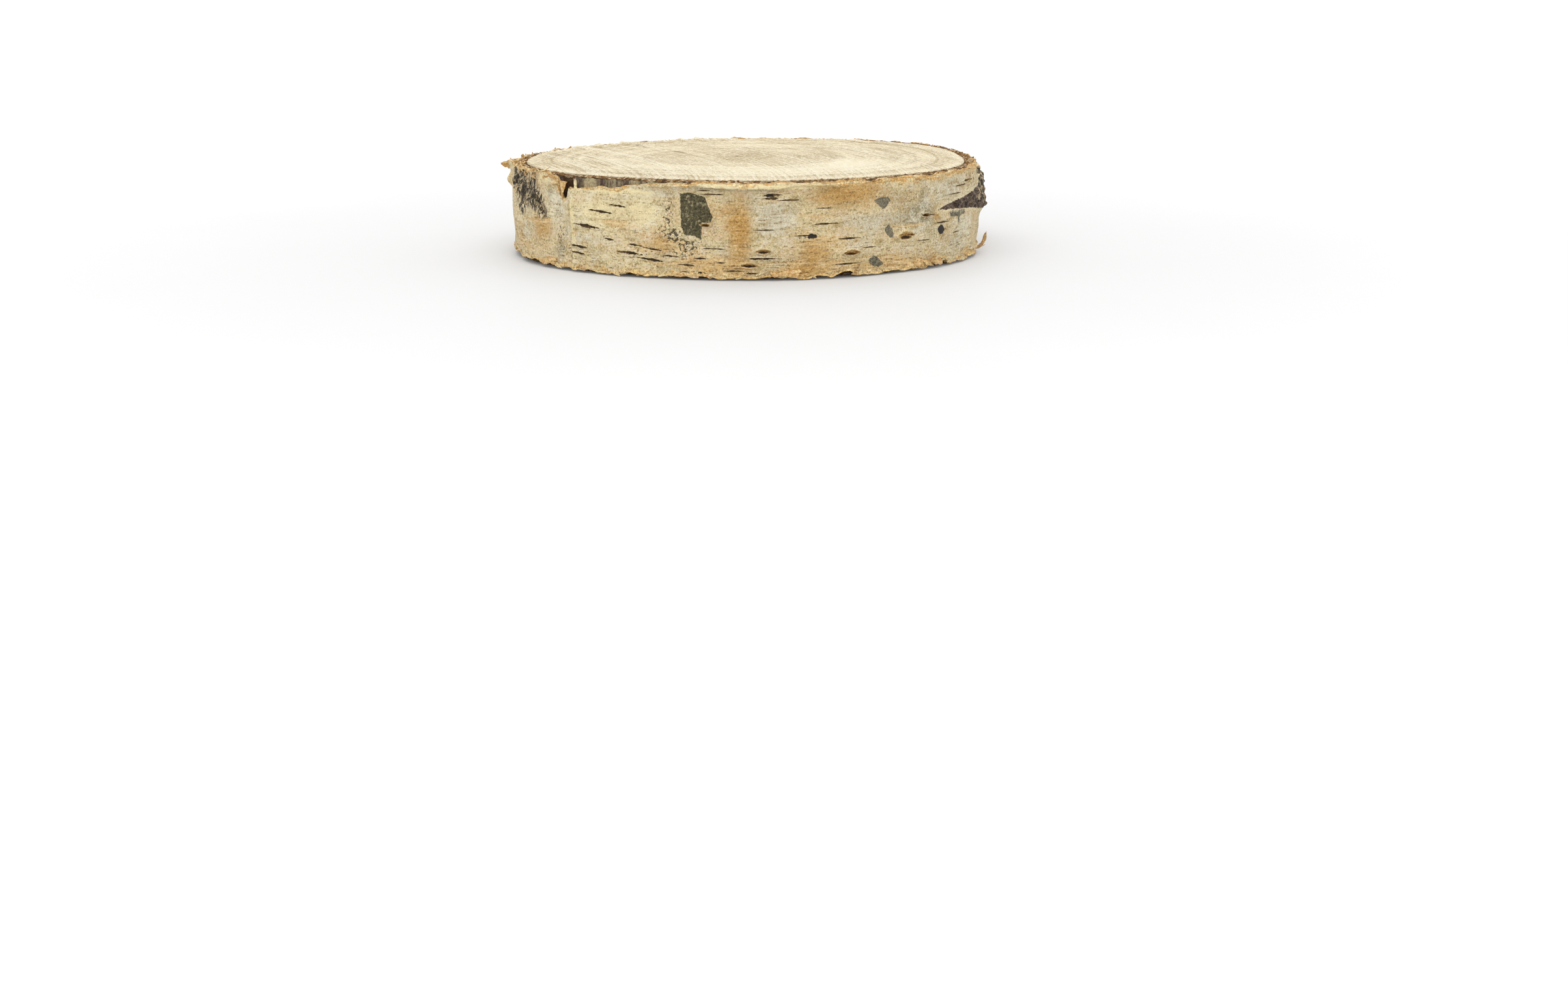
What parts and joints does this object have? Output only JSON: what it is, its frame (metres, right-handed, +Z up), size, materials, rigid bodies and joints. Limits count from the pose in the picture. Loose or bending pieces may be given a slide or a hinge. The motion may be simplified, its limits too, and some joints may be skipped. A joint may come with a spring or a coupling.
{
  "type": "birch wood slice",
  "caption": "Round slice sawn across a birch trunk: pale ringed wood, a brown inner bark and a papery, flaking outer bark; a flat natural stand or coaster.",
  "frame": {"origin": "middle of the slice's box on its lower sawn face, which lies on the floor", "axes": "+Z up along the trunk, from the lower sawn face to the upper one; -Y is the side that faces the camera; +X to the camera's right"},
  "size_m": [0.1066, 0.105, 0.0204],
  "materials": {
    "wood": "rough sawn, unfinished",
    "inner_bark": "rough sawn, granular",
    "outer_bark": "papery natural bark"
  },
  "bodies": {
    "root": {"wood": "wood", "inner_bark": "inner_bark", "outer_bark": "outer_bark"}
  },
  "joints": []
}
